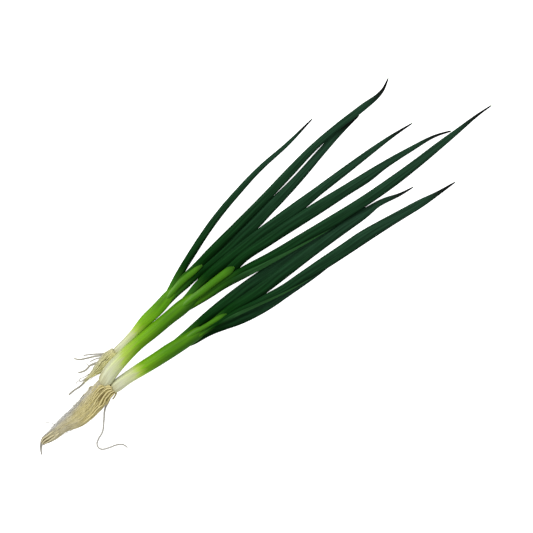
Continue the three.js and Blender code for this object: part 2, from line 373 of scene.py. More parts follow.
leafLook = {
    "base": (0.080, 0.240, 0.009),
    "lower": (0.028, 0.116, 0.009),
    "blade": (0.0026, 0.0310, 0.0024),
    "upper": (0.0140, 0.0440, 0.0230),
    "tip": (0.008, 0.009, 0.008),
    # whitish bloom mixed with a painted sheen
    "bloomAndSheen": (0.025, 0.072, 0.039),
    # the fold's paler colour, painted light
    "pale": (0.034, 0.122, 0.034),
    "fibres": (84.0, 7.0, 9.0),
    "ragged": 0.03,
    "upperFrom": 0.78,
    "upperTo": 0.89,
    "tipFrom": 0.95,
    "bloomPatches": (0.15, 0.75),
    "bloomAndSheenGrows": (0.12, 0.55),
    "bloomAndSheenFades": (0.86, 0.94),
    # painted shading of the flanks: shade on the right, light on the left, evened near the tip
    "paintedRightShading": 0.24,
    "paintedLeftLight": 1.14,
    "evenedPaintedShading": 0.98,
    "evenedTip": 0.9,
    # painted light of the fold and painted shade of its crease
    "foldPaintedLight": 0.95,
    "paintedCreaseShade": 0.55,
    "lineShades": (0.66, 1.34),
    "broadShades": (0.72, 1.3),
    "broadHeight": 1.5,
    "roughness": (0.4, 0.58),
    "gloss": 0.015,
    "bump": (0.4, 0.15),
}


def makeLeafSkin(name, greenEnd, darkFrom, fold):
    # greenEnd and darkFrom are shares of the length between which the base's green darkens;
    # fold has the start and end share of a fold on the right flank with painted light and a
    # painted shade along its crease, and its reach
    look = leafLook
    material, tree, shader = newMaterial(name)
    lines, broadLines, patches, along = placeFibres(tree, look)
    flank = readValue(tree, "flank")
    ragged = mathNode(tree, "ADD", along,
                      rangeNode(tree, broadLines, -look["ragged"], look["ragged"], *noiseSpan))
    colour = rampNode(tree, ragged, [
        (0.0, look["base"]), (greenEnd, look["base"]),
        ((greenEnd + darkFrom) / 2, look["lower"]), (darkFrom, look["blade"]),
        (look["upperFrom"], look["upper"]), (look["upperTo"], look["upper"]),
        (look["tipFrom"], look["tip"])])
    # whitish bloom in patches together with a painted sheen on the lit left flank; none of it on
    # the right flank and less at both ends
    bloomAndSheen = mathNode(tree, "MULTIPLY", rangeNode(tree, patches, *look["bloomPatches"], 0.4, 0.7),
                     rangeNode(tree, flank, 0.0, 0.8, -0.6, 0.9))
    bloomAndSheen = mathNode(tree, "MULTIPLY", bloomAndSheen,
                     rangeNode(tree, along, 0.0, 1.0, *look["bloomAndSheenGrows"]))
    bloomAndSheen = mathNode(tree, "MULTIPLY", bloomAndSheen,
                     rangeNode(tree, along, 1.0, 0.1, *look["bloomAndSheenFades"]))
    colour = mixColour(tree, "MIX", bloomAndSheen, colour, (*look["bloomAndSheen"], 1))
    # painted shade on the right flank and a little painted light on the left, less of both near the
    # tip
    side = mathNode(tree, "MULTIPLY", rangeNode(tree, flank, look["paintedRightShading"], 1.0, -1.05, -0.2),
                    rangeNode(tree, flank, 1.0, look["paintedLeftLight"], -0.2, 0.6))
    evened = rangeNode(tree, along, 0.0, look["evenedTip"], 0.35, 0.75)
    side = mixColour(tree, "MIX", evened, side, (*[look["evenedPaintedShading"]] * 3, 1))
    if fold:
        # painted light makes the fold paler than the blade and lifts the painted shade of the right
        # flank there, and painted shade darkens the crease at its border
        start, end, reach = fold
        border = rangeNode(tree, along, reach, -1.0, start, end)
        inside = mathNode(tree, "SUBTRACT", border, flank)
        pale = mathNode(tree, "MULTIPLY", rangeNode(tree, inside, 0.0, 0.85, 0.0, 0.12),
                        rangeNode(tree, along, 0.0, 1.0, start - 0.05, start + 0.02))
        offBorder = mathNode(tree, "ABSOLUTE", mathNode(tree, "ADD", inside, 0.08))
        crease = rangeNode(tree, offBorder, look["paintedCreaseShade"], 1.0, 0.02, 0.14)
        side = mathNode(tree, "MULTIPLY", side, crease)
        side = mathNode(tree, "MAXIMUM", side,
                        mathNode(tree, "MULTIPLY", pale, look["foldPaintedLight"]))
        colour = mixColour(tree, "MIX", pale, colour, (*look["pale"], 1))
    colour = shaded(tree, colour, rangeNode(tree, lines, *look["lineShades"], *noiseSpan))
    colour = shaded(tree, colour, rangeNode(tree, broadLines, *look["broadShades"], *broadSpan))
    colour = shaded(tree, colour, side)
    finishSkin(tree, shader, look, colour, patches, fibreHeight(tree, look, lines, broadLines))
    return material


shankLook = {
    "foot": (0.55, 0.53, 0.31),
    "white": (0.64, 0.66, 0.45),
    "cream": (0.58, 0.64, 0.30),
    "turning": (0.42, 0.59, 0.082),
    "bright": (0.180, 0.405, 0.012),
    # painted shade of the right flank near the mouth
    "green": (0.086, 0.262, 0.0065),
    "dark": (0.020, 0.095, 0.006),
    "fibres": (78.0, 3.5, 3.0),
    "ragged": 0.035,
    "whiteFrom": 0.1,
    "creamBefore": 0.05,
    "greenAfter": 0.25,
    "lineShades": (0.84, 1.16),
    "broadShades": (0.86, 1.14),
    "broadHeight": 1.2,
    "roughness": (0.32, 0.5),
    "gloss": 0.06,
    "bump": (0.3, 0.18),
}


def makeShankSkin(name, turnAt, greenAt, slant, paintedShadeAt, paintedRightShading):
    # turnAt and greenAt are shares of the length at which the white turns green, slant
    # sets it off between the two flanks, the next share is where painted shade starts on the
    # right flank, and the last number is the painted shading of the right flank's green
    look = shankLook
    material, tree, shader = newMaterial(name)
    lines, broadLines, patches, along = placeFibres(tree, look)
    flank = readValue(tree, "flank")
    ragged = mathNode(tree, "ADD", along,
                      rangeNode(tree, broadLines, -look["ragged"], look["ragged"], *noiseSpan))
    ragged = mathNode(tree, "ADD", ragged, rangeNode(tree, flank, slant, -slant, -1.0, 1.0))
    colour = rampNode(tree, ragged, [
        (0.0, look["foot"]), (look["whiteFrom"], look["white"]),
        (turnAt - look["creamBefore"], look["cream"]), (turnAt, look["turning"]),
        (greenAt, look["bright"]), (greenAt + look["greenAfter"], look["green"]),
        (1.0, look["green"])])
    shade = mathNode(tree, "MULTIPLY", rangeNode(tree, lines, *look["lineShades"], *noiseSpan),
                     rangeNode(tree, broadLines, *look["broadShades"], *broadSpan))
    colour = shaded(tree, colour, shade)
    # in the green, a painted shading of the right flank: shade below one, light above
    greenness = rangeNode(tree, ragged, 0.0, 1.0, turnAt, greenAt + 0.1)
    rightSide = rangeNode(tree, flank, paintedRightShading, 1.0, -0.55, 0.05)
    colour = mixColour(tree, "MULTIPLY", greenness, colour, rightSide)
    # painted shade on the right flank, growing towards the mouth
    paintedShadeMask = mathNode(tree, "MULTIPLY", rangeNode(tree, along, 0.0, 1.0, paintedShadeAt, 1.0),
                         rangeNode(tree, flank, 1.0, 0.0, -0.75, 0.35))
    colour = mixColour(tree, "MIX", paintedShadeMask, colour, (*look["dark"], 1))
    finishSkin(tree, shader, look, colour, patches, fibreHeight(tree, look, lines, broadLines))
    return material


sheathLook = {
    "pale": (0.15, 0.34, 0.055),
    "middle": (0.062, 0.214, 0.0075),
    "end": (0.030, 0.115, 0.008),
    "fibres": (80.0, 1.6, 3.0),
    "endFrom": 0.85,
    "lip": (0.3, 0.6),
    "paintedRightShading": 0.78,
    "lineShades": (0.78, 1.22),
    "broadHeight": 1.2,
    "roughness": (0.34, 0.5),
    "gloss": 0.06,
    "bump": (0.35, 0.15),
}


def makeSheathSkin(name):
    # a paler edge on the left fades between the two places of the look's lip
    look = sheathLook
    material, tree, shader = newMaterial(name)
    lines, broadLines, patches, along = placeFibres(tree, look)
    flank = readValue(tree, "flank")
    colour = rampNode(tree, along, [
        (0.0, look["middle"]), (look["endFrom"], look["middle"]), (1.0, look["end"])])
    colour = shaded(tree, colour, rangeNode(tree, lines, *look["lineShades"], *noiseSpan))
    # painted shade on the right flank
    colour = shaded(tree, colour, rangeNode(tree, flank, look["paintedRightShading"], 1.0, -0.95, -0.2))
    lip = mathNode(tree, "MULTIPLY", rangeNode(tree, flank, 0.0, 1.0, 0.0, 0.7),
                   rangeNode(tree, along, 1.0, 0.0, *look["lip"]))
    colour = mixColour(tree, "MIX", lip, colour, (*look["pale"], 1))
    finishSkin(tree, shader, look, colour, patches, fibreHeight(tree, look, lines, broadLines))
    return material


rootLook = {
    "light": (0.77, 0.675, 0.33),
    "middle": (0.55, 0.475, 0.184),
    "dark": (0.17, 0.105, 0.035),
    "greyDark": (0.17, 0.15, 0.12),
    "greyLight": (0.68, 0.67, 0.62),
    "speck": (0.20, 0.13, 0.06),
    "tangleTint": (1.0, 1.0, 1.0),
    "tuftTint": (0.98, 1.07, 0.97),
    "broadScale": 160.0,
    "speckScale": 380.0,
    "fineScale": 1400.0,
    "toneSpread": 0.1,
    "speckShare": 0.6,
    "roughness": (0.62, 0.85),
    "gloss": 0.3,
    "bump": (0.4, 0.1),
}


def makeRootSkin(name, tint):
    # each root carries its own tone, and how grey it is; tint multiplies the tan ones
    look = rootLook
    material, tree, shader = newMaterial(name)
    place = tree.nodes.new("ShaderNodeTexCoord").outputs["Object"]
    broad = noiseNode(tree, place, look["broadScale"], 3.0)
    fine = noiseNode(tree, place, look["fineScale"], 3.0, 0.6)
    specks = noiseNode(tree, place, look["speckScale"], 1.0)
    tone = readValue(tree, "tone")
    for noise in (broad, fine):
        spread = rangeNode(tree, noise, -look["toneSpread"], look["toneSpread"], *noiseSpan)
        tone = mathNode(tree, "ADD", tone, spread)
    light, middle, dark = (
        [part * share for part, share in zip(look[key], tint)]
        for key in ("light", "middle", "dark"))
    colour = rampNode(tree, tone, [(0.05, dark), (0.5, middle), (0.95, light)])
    colour = mixColour(tree, "MIX", rangeNode(tree, specks, 0.0, look["speckShare"], 0.7, 0.78),
                       colour, (*look["speck"], 1))
    greyed = rampNode(tree, tone, [(0.05, look["greyDark"]), (0.95, look["greyLight"])])
    colour = mixColour(tree, "MIX", readValue(tree, "grey"), colour, greyed)
    finishSkin(tree, shader, look, colour, fine, fine)
    return material


# x, y, height of the centre, width and thickness of each station, in millimetres
shanks = {
    "left": {"stations": [
        (-115.5, 7.2, 3.0, 5.4, 5.4), (-113.5, 7.4, 3.1, 6.2, 6.2), (-110, 7.8, 3.1, 6.3, 6.3),
        (-105, 8.5, 3.0, 5.9, 6.2), (-95, 10, 3.2, 6.5, 6.7), (-84, 12, 3.6, 8.4, 7.4),
        (-72, 13.2, 3.7, 8.9, 7.8), (-60, 15.4, 3.7, 8.3, 7.6), (-51, 16.6, 3.0, 6.2, 6),
        (-49.4, 16.9, 2.9, 4.6, 4.4)],
        "turnAt": 0.33, "greenAt": 0.44, "slant": 0.0, "paintedShadeAt": 0.8, "paintedRightShading": 1.3},
    "middle": {"stations": [
        (-134.8, -4.5, 5.4, 8.0, 7.4), (-132.4, -3.9, 5.7, 10, 9.2), (-128, -2.2, 5.85, 10.8, 9.9),
        (-120, 0, 6, 10.8, 10.4), (-110, 1.4, 5.6, 9.8, 9.6), (-97, 2.6, 5, 9.1, 9.1),
        (-84, 3, 4.4, 9.8, 9), (-70, 3.4, 4.15, 9.7, 8.8), (-58, 3.6, 4.2, 10.4, 8.9),
        (-46, 4, 4.0, 8, 7.4), (-44.2, 4.1, 3.8, 6.2, 5.4)],
        "turnAt": 0.27, "greenAt": 0.42, "slant": 0.04, "paintedShadeAt": 0.5, "paintedRightShading": 0.74},
    "right": {"stations": [
        (-132, -11.6, 4.0, 6.6, 6.6), (-129.5, -11.6, 4.1, 8.4, 8.2), (-126, -11.6, 4.1, 8.8, 8.6),
        (-119, -11.8, 4.1, 8.7, 8.7), (-107, -12.9, 4.15, 9.6, 8.8), (-95, -14.2, 4.25, 10.1, 9),
        (-83, -15.2, 4.35, 10.5, 9.2), (-71, -16.5, 4.45, 9.7, 9.4), (-58, -17.5, 3.6, 8.6, 7.6),
        (-56.2, -17.7, 3.5, 6.6, 5.4)],
        "turnAt": 0.3, "greenAt": 0.37, "slant": 0.0, "paintedShadeAt": 0.35, "paintedRightShading": 0.78},
}


# corners around, distance between rings in millimetres, and what a leaf gains in width
# over its stations, which fades away in its last tenth
bladeForms = {
    "shank": {"sides": 20, "spacing": 3.0, "wider": 0.0},
    "sheath": {"sides": 14, "spacing": 2.5, "wider": 0.0},
    "leaf": {"sides": 14, "spacing": 4.0, "wider": 0.25},
    "core": {"sides": 16, "spacing": 3.0, "wider": 0.0},
}
fewestRings = 8
leastSize = 0.5  # millimetres


def makeBlade(name, stations, kind, groove=None):
    form = bladeForms[kind]
    # rounding makes a tube slimmer, so its rings start out fuller
    fuller = 3 / (2 + math.cos(math.tau / form["sides"]))
    points = pathPoints(stations)
    places = placesAlong(points)
    length = places[-1]
    rings = max(fewestRings, round(length / mm / form["spacing"]))
    widths = [s[3] * mm for s in stations]
    thicknesses = [s[4] * mm for s in stations]

    def sizeAt(share):
        width = max(blendValue(places, widths, share * length), leastSize * mm) * fuller
        thickness = max(blendValue(places, thicknesses, share * length), leastSize * mm) * fuller
        return width + form["wider"] * mm * min(1, 10 * (1 - share)), thickness

    blade = straightTube(name, form["sides"], rings, length)
    # the flank runs from -1 at the right edge to 1 at the left
    setValues(blade, "flank", [vert.co.y for vert in blade.data.vertices])
    sizeRings(blade, length, rings, sizeAt)
    if groove:
        pressGroove(blade, length, groove)
    layOnPath(blade, makePath(name + "_path", points))
    return blade


for side, shank in shanks.items():
    piece = makeBlade("white_shank_" + side, shank["stations"], "shank")
    keepAbove(piece)
    skin = makeShankSkin("shank skin " + side, shank["turnAt"], shank["greenAt"],
                         shank["slant"], shank["paintedShadeAt"], shank["paintedRightShading"])
    finishPiece(piece, skin, ["shank_" + side])
print("shanks made")


sheaths = {
    "left": [(-66, 13.9, 5.6, 3, 3), (-57, 16, 6.6, 3.8, 3.2), (-47, 17.9, 6.8, 4.4, 3.2),
             (-38, 18.2, 6.4, 4.2, 2.8), (-32, 18.3, 6.1, 3.3, 2), (-28.7, 18, 5.9, 1.6, 1)],
    "middle": [(-66, 3.6, 5.4, 3.4, 3.2), (-56, 3.7, 6.7, 4, 4), (-49, 4, 7.3, 4.5, 4.4),
               (-42, 3.8, 7.5, 5, 4.5), (-30, 3.9, 7.2, 5.1, 4), (-20, 3.7, 6.7, 5.4, 3.3),
               (-15, 3.5, 6.3, 5.2, 2.7), (-12.6, 3.2, 6, 3.4, 1.9),
               (-11.9, 3.1, 5.8, 1.6, 0.9)],
    "right": [(-80, -15, 5.8, 3, 3), (-70, -15.2, 6.7, 3.2, 3.2), (-62, -15.6, 7.2, 3.3, 3.2),
              (-52, -17, 7.1, 3.2, 2.9), (-44, -17.9, 6.7, 3.4, 2.6), (-39.5, -18.7, 6.4, 3.4, 2),
              (-37, -19.1, 6.2, 2.2, 1.4), (-36.3, -19.2, 6.1, 1, 0.7)],
}
for side, stations in sheaths.items():
    piece = makeBlade("light_sheath_" + side, stations, "sheath")
    skin = makeSheathSkin("inner sheath skin " + side)
    finishPiece(piece, skin, ["inner_sheath_" + side])
print("inner sheaths made")


leaves = {
    "left_outer": [
        (-62, 16.4, 4.4, 3.2, 3), (-48, 22, 3.4, 5, 3.2), (-36, 26.7, 2.4, 5.2, 3),
        (-27, 29.9, 2, 5.3, 2.9), (-18, 33.1, 1.7, 5.1, 2.8), (0, 38.5, 1.5, 4.9, 2.6),
        (22, 43.2, 1.4, 4.4, 2.4), (45, 46.8, 1.2, 3.6, 2), (70, 48.4, 0.9, 2.7, 1.5),
        (95.5, 51.7, 0.5, 0.9, 0.9)],
    "left_middle": [
        (-64, 14.6, 3.6, 4, 3.2), (-50, 18.2, 4, 5, 3.6), (-34, 19.6, 4.4, 5.4, 3.6),
        (-18, 21.5, 4.2, 6.5, 3.4), (8, 24.7, 3.4, 6.4, 3.2), (34, 28, 2.8, 6.3, 3),
        (60, 31.8, 2.9, 6.3, 2.8), (82, 34.9, 3.4, 5.3, 2.6), (104, 36.2, 3.6, 4.7, 2.4),
        (128, 36, 3, 4.8, 1.9), (146, 36.8, 2.2, 2.4, 1.3), (155, 41.4, 1.6, 0.9, 0.9)],
    "left_inner": [
        (-70, 11.4, 4, 3.6, 3.4), (-54, 13.8, 4.6, 4.4, 3.8), (-47, 14.4, 4.4, 5.4, 3.7),
        (-40, 15.2, 4.2, 5.8, 3.6), (-22, 15.8, 3, 6.6, 3.4), (2, 17.2, 2, 7.7, 3),
        (18, 18.6, 1.8, 8.4, 2.9), (30, 20.4, 1.6, 8.1, 2.8), (42, 21.9, 1.6, 7.5, 2.7),
        (60, 24.4, 1.5, 6.3, 2.6), (88, 29.8, 1.3, 5.2, 2.3), (106, 32.9, 1, 4.5, 1.8),
        (123, 34.6, 0.6, 3.4, 1)],
    "middle_left": [
        (-66, 5, 3.8, 4, 3.6), (-52, 6.2, 4.4, 5.2, 4), (-38, 8.8, 4.6, 6.4, 3.8),
        (-20, 10, 4, 7.4, 3.4), (4, 10.7, 2.8, 7, 3), (34, 9.9, 1.8, 7.7, 2.9),
        (52, 9.1, 1.6, 8, 2.8), (66, 9.1, 1.5, 6.6, 2.7), (92, 8.7, 1.3, 5.6, 2.4),
        (114, 8.3, 1.1, 4.2, 1.9), (132, 7.6, 0.8, 2.5, 1.4), (149, 6, 0.5, 0.9, 0.9)],
    "middle_inner": [
        (-52, 3.4, 4, 4, 3.4), (-34, 3.8, 3.8, 5.4, 3.6), (-20, 3.9, 3.6, 6.4, 3.6),
        (-10, 4.2, 3.5, 7.6, 3.6), (-4, 4.9, 3.4, 7.3, 3.5), (18, 3.5, 2.6, 7.8, 3.4),
        (44, 1.4, 1.9, 8.5, 3.2), (62, -0.3, 1.7, 8.6, 3.1), (82, -2.3, 1.6, 7.7, 2.9),
        (101, -4.3, 1.5, 7.4, 2.7), (114, -5, 1.2, 5.4, 2.2), (138, -7.9, 0.9, 3.5, 1.6),
        (156, -10.9, 0.7, 1.9, 1.2), (167, -15.1, 0.5, 1.2, 0.9)],
    "middle_right": [
        (-62, 1.6, 3.6, 3.6, 3), (-42, -0.5, 4, 5.3, 3.4), (-24, -1.5, 4.6, 7, 3.6),
        (-8, -3.9, 5.2, 8.1, 3.6), (14, -7.6, 5.4, 7.8, 3.5), (38, -10.8, 5.3, 8.1, 3.4),
        (62, -13.7, 5.1, 8, 3.3), (86, -16.2, 4.7, 7.6, 3.1), (112, -17.8, 4.1, 7.3, 2.9),
        (134, -18.2, 3.5, 6.3, 2.6), (152, -18, 2.9, 5.3, 2.2), (170, -17.9, 2.1, 3.6, 1.7),
        (188, -17.7, 1.2, 1.9, 1.1), (200.5, -18.4, 0.5, 0.9, 0.9)],
    "right_left": [
        (-78, -12.6, 4.2, 3.4, 3), (-66, -12.5, 4.2, 4.2, 3.4), (-50, -12.5, 3.4, 6.6, 3.2),
        (-34, -12.6, 2.4, 8, 3), (-14, -13.1, 1.7, 8.4, 2.8), (8, -14.2, 1.5, 8.2, 2.8),
        (30, -15.6, 1.4, 6.6, 2.6), (50, -17, 1.3, 5.4, 2.4), (68, -17.9, 1, 3.2, 1.8),
        (84, -18.3, 0.6, 1.2, 1)],
    "right_middle": [
        (-66, -18.2, 4.4, 4, 3.2), (-48, -19.1, 4.6, 6.4, 3.6), (-32, -19.4, 4.2, 8.2, 3.6),
        (-14, -20.5, 3.4, 8.4, 3.5), (10, -21, 2.6, 8.3, 3.4), (38, -21.2, 2.2, 8.1, 3.3),
        (62, -21.9, 2, 8, 3.2), (79, -22.7, 1.8, 7.8, 2.9), (87, -23.5, 1.6, 5.9, 2.5),
        (94, -23.7, 1.4, 4.3, 2.2), (100, -24.9, 1.2, 3.8, 1.9), (111, -28.1, 0.9, 2.2, 1.4),
        (122, -29.8, 0.5, 0.9, 0.9)],
    "right_outer": [
        (-62, -19.2, 6, 3, 2.6), (-46, -20.6, 6.6, 3.8, 2.6), (-30, -23, 6.6, 4.4, 2.6),
        (-14, -26.5, 5.9, 4.7, 2.6), (-5, -28.1, 5.3, 5.7, 2.7), (4, -29.9, 4.8, 6.1, 2.8),
        (22, -31.8, 3.9, 7.6, 3.2), (42, -33.5, 3.2, 8.6, 3.3), (58, -34.8, 2.8, 8.8, 3.2),
        (71, -35.7, 2.4, 9.1, 3.1), (88, -37.7, 2, 7.9, 2.9), (104, -39.9, 1.6, 6.7, 2.6),
        (118, -41.9, 1.3, 5.8, 2.2), (132, -43.8, 0.9, 3.1, 1.6), (147.5, -45.2, 0.5, 0.9, 0.9)],
    "right_under": [
        (-76, -16.8, 3.4, 3.4, 3), (-68, -18.9, 3.1, 6.4, 3.1), (-62, -20, 2.9, 6.1, 3.2),
        (-54, -21.2, 2.5, 6.2, 3.1), (-46, -23.2, 2.2, 6.9, 3), (-30, -28, 1.7, 7.9, 2.8),
        (-12, -32.2, 1.4, 6.2, 2.6), (8, -34.6, 1.1, 4, 2.2), (28, -36.5, 0.9, 2.2, 1.6),
        (46, -37.2, 0.5, 1, 1)],
}
# shares of the length between which the base's light green darkens
leafGreens = {
    "left_outer": (0.0, 0.15), "left_middle": (0.01, 0.16), "left_inner": (0.0, 0.17),
    "middle_left": (0.03, 0.16), "middle_inner": (0.02, 0.12), "middle_right": (0.03, 0.2),
    "right_left": (0.0, 0.15), "right_middle": (0.04, 0.16), "right_outer": (0.0, 0.07),
    "right_under": (0.0, 0.14),
}
# start and end share, flank and depth of a crease
leafGrooves = {
    "middle_right": (0.2, 0.5, -0.45, 0.7), "right_outer": (0.12, 0.36, -0.45, 0.6),
    "left_outer": (0.2, 0.6, 0.2, 0.25),
}
# start and end share and reach of the folds that get painted light and a painted crease shade
leafFolds = {"middle_right": (0.2, 0.49, 0.1), "right_outer": (0.13, 0.46, 0.15)}
for name, stations in leaves.items():
    piece = makeBlade("green_leaf_" + name, stations, "leaf", leafGrooves.get(name))
    keepAbove(piece)
    skin = makeLeafSkin("leaf skin " + name, *leafGreens[name], leafFolds.get(name))
    finishPiece(piece, skin, ["leaf_" + name])
print("leaves made")


# the roots: places and widths are in millimetres, the master strand's length in metres,
# and ends hold the place that strands reach and how far beyond it the longest ones go
strandForm = {
    "seed": 31,
    "length": 0.05,
    "roundedEnd": 1 / 24,
    "endSize": 0.3,
    "lowest": 0.4,
    "waves": (10, 22),
    "turnWiggle": 0.07,
    "outWiggle": 0.03,
    "hairWidth": 0.2,
    "hairTone": 0.6,
    "greyTailFrom": -160,
    "greyTailOver": 14,
    "greyTail": 0.35,
}
tangleForm = {
    "coreShare": 0.9,
    "fineStrands": 330,
    "fineWidth": 0.56,
    "fineEnds": (-156, 37),
    "fineSettle": 0.35,
    "middleBase": (-134.4, -4.4, 5.0),
    "middleReach": 3.8,
    "middleUpTo": 0.36,
    "rightFrom": 0.85,
    "middleChance": 0.12,
    "thinArcs": 22,
    "arcsCopied": 6,
    "arcTop": 5.4,
    "arcTopFrom": -131.5,
    "arcSink": 0.9,
    "edgeStrands": 60,
    "hairs": {"count": 240, "startX": -138, "endX": -178, "leftShare": 0.78, "reachMost": 1.6},
    "hookStrands": 16,
}
tuftForm = {
    "coreShare": 0.66,
    "strands": 46,
    "width": 0.72,
    "ends": (-125, 22),
    "settle": 0.5,
    "base": (-114.2, 7.7, 3.1),
    "baseReach": (3.4, 3.0),
    "hairs": {"count": 44, "startX": -117, "endX": -142, "leftShare": 0.6, "reachMost": 2.6},
    "coreTone": 0.4,
}
tangleCore = [
    (-131, -8.4, 4.4, 12.6, 7.2), (-137, -9, 4.2, 14.4, 7.4), (-146, -9.9, 3.8, 16, 7.2),
    (-154, -11.2, 3.5, 15, 6.6), (-162, -12.1, 3.1, 13.8, 5.8), (-169, -11.7, 2.8, 11.8, 5),
    (-174.5, -10.7, 2.4, 9.2, 4.2), (-180, -11, 2.1, 8, 3.6), (-186, -11.1, 1.8, 7.6, 3.2),
    (-191, -10.5, 1.5, 6.4, 2.6), (-194.6, -11.2, 1.2, 3.8, 2)]
tuftCore = [
    (-115.5, 8, 3.2, 6.2, 4.6), (-118.5, 7.8, 3.1, 7.2, 4.8), (-122.5, 7.3, 2.7, 7.4, 4.2),
    (-127, 6.4, 2.3, 6.4, 3.6), (-132, 5.7, 1.9, 5, 2.8), (-136.5, 5.2, 1.5, 3, 2),
    (-142, 4.9, 1.2, 1.7, 1.5), (-148, 4.2, 1, 1.2, 1.2)]
# the roots that show singly on top of the tangle, most of them arcs out of the right
# plant's base: places along and across, width and tone
boldRoots = [
    ([(-131, -10.8), (-133.8, -9.1), (-136.3, -8.9), (-138.5, -9.1), (-142.9, -10),
      (-145.4, -10.9), (-149, -12.6)], 1.0, 1.25),
    ([(-131.4, -11.9), (-134.6, -11.1), (-136.9, -11.4), (-139.1, -12), (-141.5, -12.9),
      (-143.6, -13.9), (-148, -15.6)], 1.05, 1.3),
    ([(-131.2, -13.3), (-134, -12.9), (-136.4, -13.4), (-138.9, -13.9), (-140.8, -14.9),
      (-144.5, -16.4)], 0.9, 0.95),
    ([(-131.2, -14.7), (-134.7, -14.8), (-137.3, -15.5), (-139.5, -16.4), (-142, -17.4)],
     0.95, 0.75),
    ([(-130.5, -10), (-132.9, -8), (-135.3, -6.7), (-137.3, -6.2), (-139, -6.2),
      (-141.7, -6.7), (-146, -8.3)], 0.85, 0.95),
    ([(-131, -8.6), (-133.9, -5.8), (-136.2, -4.7), (-138.4, -4.6), (-141.1, -5.2),
      (-146, -6.4)], 0.85, 0.8),
    ([(-140, -7.8), (-144, -8.6), (-149, -10)], 0.9, 0.85),
    ([(-137, -2.6), (-141, -3.2), (-146, -4.6)], 0.9, 0.7),
    ([(-143.8, -16), (-148.2, -15.9), (-152.7, -16.9), (-158, -17.4), (-164, -17)], 0.95, 1.1),
    ([(-146, -14.2), (-150, -14.8), (-154.3, -15.8), (-160, -16)], 0.8, 0.95),
    ([(-183, -9.4), (-188, -9.2), (-192, -9.2), (-194.6, -10.4)], 0.9, 1.15),
    ([(-184, -11.6), (-188, -11.2), (-192, -10.8), (-195, -11.6)], 0.9, 1.2),
    ([(-180, -12.8), (-186, -13.2), (-190.5, -12.8), (-194, -12)], 0.8, 1.0)]
# single loose roots as they lie in the photo: points, width, tone and greyness
tangleStrays = [
    ([(-133, -12, 3.2), (-139.1, -16.5, 1.6), (-144.4, -19, 0.8), (-150.5, -25.1, 0.7),
      (-156.4, -31, 0.7), (-161.8, -33.2, 0.7), (-165.1, -36, 0.7), (-164.8, -39.5, 0.7),
      (-159.7, -42.4, 0.7), (-153.6, -44.4, 0.7), (-150, -47.2, 0.7), (-149.3, -51.1, 0.6)],
     1.4, 0.6, 1.0),
    ([(-130.4, -14.6, 3), (-133, -16.2, 1.8), (-136.6, -17.4, 0.9)], 1.2, 0.55, 0.3),
    ([(-139.9, -3.8, 3.2), (-142.4, -1.2, 2.2), (-144.4, -0.9, 1.4), (-146, -3.2, 1.6)],
     1.3, 0.6, 0.4),
    ([(-177.5, -11.5, 2.2), (-179, -8, 1.4), (-180.2, -4.8, 0.9), (-182, -2.5, 0.7),
      (-184.4, -0.5, 0.6)], 0.6, 0.6, 1.0),
]
hookPath = [(-182, -10.8, 2.1), (-188.5, -10.4, 1.7), (-193.4, -10.4, 1.3),
            (-197.3, -13.4, 1), (-199.9, -17.4, 0.7)]
tuftStrays = [
    ([(-115.5, 9.4, 4.0), (-121.5, 11.9, 2.4), (-124.5, 13.9, 1.6), (-128.3, 16.5, 1),
      (-134, 19.9, 0.7)], 1.15, 0.45, 0.9),
    ([(-116, 9.2, 4.2), (-122, 11.2, 2.6), (-128, 14.4, 1.6), (-135, 17.6, 0.8),
      (-138, 19.4, 0.7), (-140.6, 22.5, 0.6)], 1.4, 0.5, 0.85),
    ([(-119, 9.2, 3.8), (-125, 11, 2), (-129, 12.6, 1.2), (-133, 13.4, 0.7)], 0.95, 0.5, 0.85),
    ([(-121, 9, 3.4), (-128, 9.6, 2.2), (-134, 11.2, 1.2), (-139, 10.6, 0.8),
      (-144.6, 12.4, 0.6)], 1.5, 0.45, 0.85),
    ([(-134, 6, 2.0), (-142, 4.9, 1.3), (-149, 4.0, 1), (-154, 4.4, 0.7),
      (-159.2, 4.2, 0.6)], 1.6, 0.42, 0.9),
    ([(-136, 6.6, 1.8), (-143.5, 7.6, 1), (-145.8, 8.2, 0.7), (-147.6, 7.2, 0.6)],
     0.65, 0.4, 0.9),
    ([(-139, 5.6, 1.4), (-146, 6.4, 0.9), (-148.6, 8, 0.7), (-150, 6.4, 0.6)],
     0.65, 0.4, 0.9),
    ([(-130, 9.4, 1.8), (-134.6, 11.4, 1), (-135.8, 14.4, 0.6)], 0.65, 0.4, 0.9),
]

draw = random.Random(strandForm["seed"])


def makeMasterStrand(name, sides, rings, taper):
    # one thin root, straight, tapering to its rounded end
    length, endSize = strandForm["length"], strandForm["endSize"]
    strand = straightTube(name, sides, rings, length)

    def sizeAt(share):
        rounding = min(1, (1 - share) / strandForm["roundedEnd"]) ** 0.5
        across = mm * (1 - taper * share) * (endSize + (1 - endSize) * rounding)
        return across, across

    sizeRings(strand, length, rings, sizeAt)
    return strand


masterStrand = makeMasterStrand("root_strand", 5, 20, 0.45)
masterHair = makeMasterStrand("root_hair", 3, 6, 0.8)
masterStray = makeMasterStrand("root_stray", 6, 30, 0.15)


def layStrand(laid, points, width, tone, grey=0.0, master=masterStrand):
    strand = master.copy()
    strand.data = master.data.copy()
    bpy.context.collection.objects.link(strand)
    raised = [(x, y, max(z, strandForm["lowest"])) for x, y, z in points]
    path = makePath("strand_path", pathPoints(raised), [width] * len(points))
    addBend(strand, path)
    count = len(strand.data.vertices)
    setValues(strand, "tone", [tone] * count)
    setValues(strand, "grey", [grey] * count)
    laid.append((strand, path))


def coreAt(core, x):
    # the middle and the sizes of a tuft at a place along it; the list runs towards -X
    places = [-s[0] for s in core]
    return [blendValue(places, [s[k] for s in core], -x) for k in range(1, 5)]


